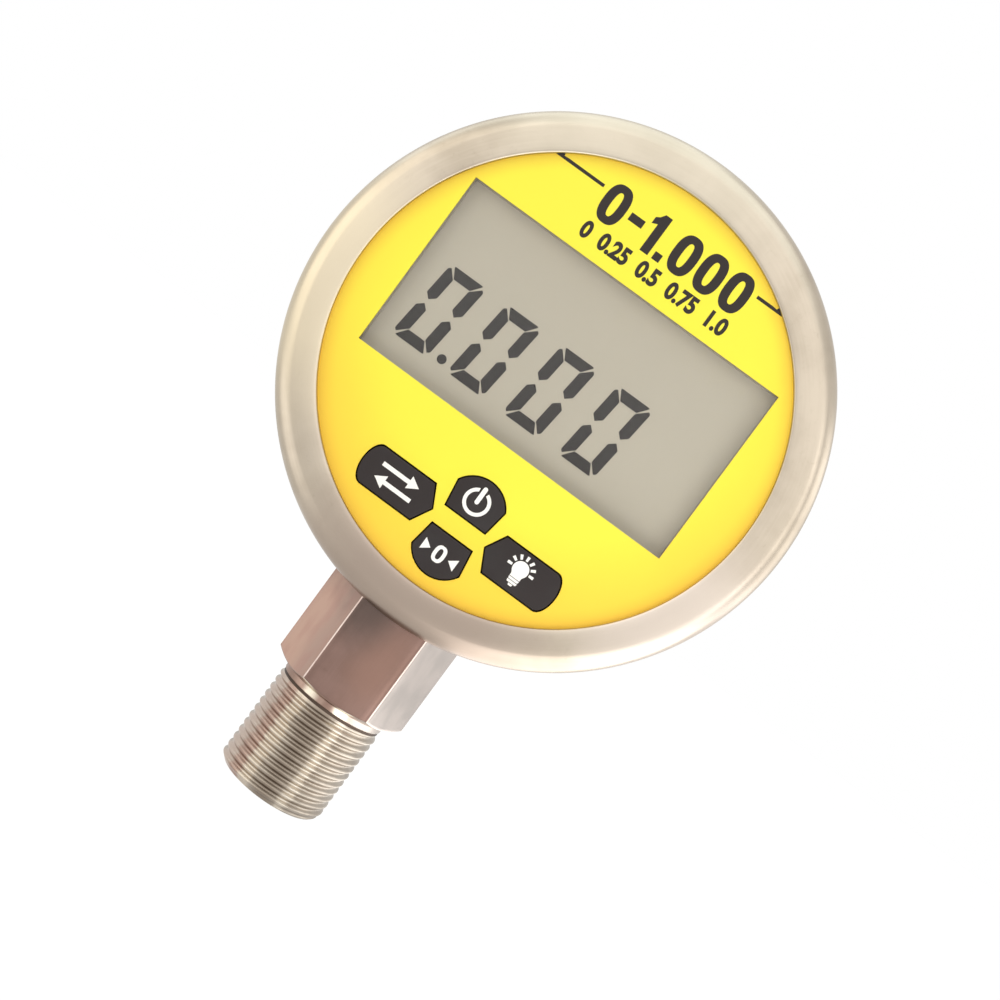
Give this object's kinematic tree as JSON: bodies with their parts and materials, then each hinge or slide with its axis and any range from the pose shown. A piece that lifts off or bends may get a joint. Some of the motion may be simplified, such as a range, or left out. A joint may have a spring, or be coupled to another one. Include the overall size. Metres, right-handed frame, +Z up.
{
  "type": "digital pressure gauge",
  "caption": "Round steel-cased battery pressure gauge with a digital display, press keys, a screwed rear cover and a threaded hexagon stem below.",
  "frame": {"origin": "mouth of the pressure port, at the centre of the stem's end face, on the thread axis", "axes": "+Z up along the stem axis towards the case, -Y the way the dial faces, +X to the right as the dial is read"},
  "size_m": [0.09, 0.0378, 0.1265],
  "materials": {
    "bezel_steel": "satin turned",
    "case_steel": "satin drawn",
    "stem_steel": "machined",
    "sensor_steel": "machined",
    "screw_steel": "bright plated",
    "contact_metal": "nickel plated",
    "spacer_brass": "turned",
    "overlay_film": "printed satin film",
    "key_plastic": "satin",
    "black_plastic": "fine moulded",
    "window_clear": "clear",
    "display_glass": "matt polariser",
    "light_plastic": "milky",
    "strip_rubber": "matt",
    "seal_rubber": "matt",
    "board_laminate": "solder mask",
    "chip_plastic": "moulded",
    "socket_plastic": "moulded",
    "cell_jacket": "printed jacket",
    "lead_insulation": "extruded"
  },
  "bodies": {
    "gauge": {"bezel_ring": "bezel_steel", "front_seal": "seal_rubber", "face_overlay": "overlay_film", "front_plate": "black_plastic", "display_window": "window_clear", "lcd_panel": "display_glass", "contact_strips": "strip_rubber", "backlight_panel": "light_plastic", "main_board": "board_laminate", "board_chips": "chip_plastic", "lead_sockets": "socket_plastic", "key_switches": "chip_plastic", "board_spacers": "spacer_brass", "battery_tray": "black_plastic", "tray_screws": "screw_steel", "battery_cells": "cell_jacket", "contact_springs": "contact_metal", "contact_plates": "contact_metal", "battery_leads": "lead_insulation", "case_shell": "case_steel", "rear_gasket": "seal_rubber", "process_stem": "stem_steel", "stem_gasket": "seal_rubber", "stem_lock_nut": "screw_steel", "pressure_sensor": "sensor_steel", "sensor_seal_ring": "seal_rubber", "sensor_retainer": "sensor_steel", "sensor_leads": "lead_insulation"},
    "mode_button": {"mode_key": "key_plastic", "mode_plunger": "socket_plastic"},
    "power_button": {"power_key": "key_plastic", "power_plunger": "socket_plastic"},
    "light_button": {"light_key": "key_plastic", "light_plunger": "socket_plastic"},
    "tare_button": {"tare_key": "key_plastic", "tare_plunger": "socket_plastic"},
    "cover": {"rear_cover": "case_steel", "cover_screws": "screw_steel"}
  },
  "joints": [
    {"name": "mode_press", "type": "slide", "parent": "gauge", "child": "mode_button", "axis": [0, 1, 0], "range_m": [0, 0.0004], "stiffness_N_per_m": 800, "springref_m": -0.0004},
    {"name": "power_press", "type": "slide", "parent": "gauge", "child": "power_button", "axis": [0, 1, 0], "range_m": [0, 0.0004], "stiffness_N_per_m": 800, "springref_m": -0.0004},
    {"name": "light_press", "type": "slide", "parent": "gauge", "child": "light_button", "axis": [0, 1, 0], "range_m": [0, 0.0004], "stiffness_N_per_m": 800, "springref_m": -0.0004},
    {"name": "tare_press", "type": "slide", "parent": "gauge", "child": "tare_button", "axis": [0, 1, 0], "range_m": [0, 0.0004], "stiffness_N_per_m": 800, "springref_m": -0.0004},
    {"name": "rear_cover_off", "type": "slide", "parent": "gauge", "child": "cover", "axis": [0, 1, 0], "range_m": [0, 0.03]}
  ]
}
